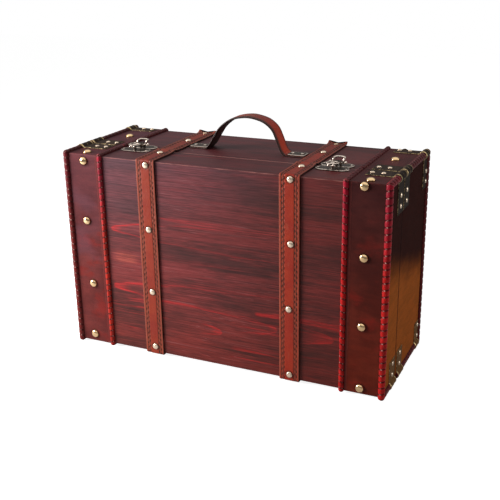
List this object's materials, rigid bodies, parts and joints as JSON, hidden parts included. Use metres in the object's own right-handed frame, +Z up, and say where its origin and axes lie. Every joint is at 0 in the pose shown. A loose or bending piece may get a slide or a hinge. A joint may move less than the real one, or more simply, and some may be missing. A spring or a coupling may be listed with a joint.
{
  "type": "wooden suitcase box",
  "caption": "Hinged wooden storage case with leather covered ends, laced edges, nailed leather straps, metal corner brackets, rocking latches and a carrying handle.",
  "frame": {"origin": "centre of the overall box, at the level that the case stands on", "axes": "+X to the right of the case seen from the front, +Y to the back, +Z up; the front of the lid faces -Y"},
  "size_m": [0.449, 0.1826, 0.321],
  "materials": {
    "cherry_wood": "dark red stain under satin varnish, streaked grain",
    "maroon_leather": "smooth dark maroon, semi-gloss",
    "laced_cord": "red cord whipped with dark lacing, glossy",
    "tan_leather": "orange brown, satin, dark stitching",
    "lining_cloth": "matt dark red cloth",
    "bracket_bronze": "antique bronze with brighter edges",
    "pewter": "antique silver, polished on the high spots",
    "hinge_steel": "antiqued steel"
  },
  "bodies": {
    "base": {"base_back_panel": "cherry_wood", "base_bottom_board": "cherry_wood", "base_bottom_left_bracket": "bracket_bronze", "base_bottom_right_bracket": "bracket_bronze", "base_left_board": "cherry_wood", "base_left_hinge_leaf": "hinge_steel", "base_left_inner_cord": "laced_cord", "base_left_leather": "maroon_leather", "base_left_outer_cord": "laced_cord", "base_left_strap": "tan_leather", "base_lining": "lining_cloth", "base_right_board": "cherry_wood", "base_right_hinge_leaf": "hinge_steel", "base_right_inner_cord": "laced_cord", "base_right_leather": "maroon_leather", "base_right_outer_cord": "laced_cord", "base_right_strap": "tan_leather", "base_top_board": "cherry_wood", "base_top_left_bracket": "bracket_bronze", "base_top_right_bracket": "bracket_bronze", "handle_left_plate": "pewter", "handle_right_plate": "pewter", "handle_strap": "tan_leather", "left_hinge_pin": "hinge_steel", "left_latch_plate": "pewter", "rear_bottom_left_bracket": "bracket_bronze", "rear_bottom_right_bracket": "bracket_bronze", "rear_top_left_bracket": "bracket_bronze", "rear_top_right_bracket": "bracket_bronze", "right_hinge_pin": "hinge_steel", "right_latch_plate": "pewter"},
    "lid": {"left_latch_catch": "pewter", "lid_bottom_board": "cherry_wood", "lid_bottom_left_bracket": "bracket_bronze", "lid_bottom_right_bracket": "bracket_bronze", "lid_front_panel": "cherry_wood", "lid_left_board": "cherry_wood", "lid_left_hinge_leaf": "hinge_steel", "lid_left_inner_cord": "laced_cord", "lid_left_leather": "maroon_leather", "lid_left_outer_cord": "laced_cord", "lid_left_strap": "tan_leather", "lid_lining": "lining_cloth", "lid_right_board": "cherry_wood", "lid_right_hinge_leaf": "hinge_steel", "lid_right_inner_cord": "laced_cord", "lid_right_leather": "maroon_leather", "lid_right_outer_cord": "laced_cord", "lid_right_strap": "tan_leather", "lid_top_board": "cherry_wood", "lid_top_left_bracket": "bracket_bronze", "lid_top_right_bracket": "bracket_bronze", "right_latch_catch": "pewter"},
    "left_hasp": {"left_latch_hasp": "pewter"},
    "right_hasp": {"right_latch_hasp": "pewter"}
  },
  "joints": [
    {"name": "lid_hinge", "type": "hinge", "parent": "base", "child": "lid", "pos_m": [0, -0.0303, 0.0037], "axis": [1, 0, 0], "range_deg": [0, 100]},
    {"name": "left_hasp_pivot", "type": "hinge", "parent": "base", "child": "left_hasp", "pos_m": [-0.13765, -0.0303, 0.2799], "axis": [-1, 0, 0], "range_deg": [0, 50]},
    {"name": "right_hasp_pivot", "type": "hinge", "parent": "base", "child": "right_hasp", "pos_m": [0.13825, -0.0303, 0.2799], "axis": [-1, 0, 0], "range_deg": [0, 50]}
  ]
}
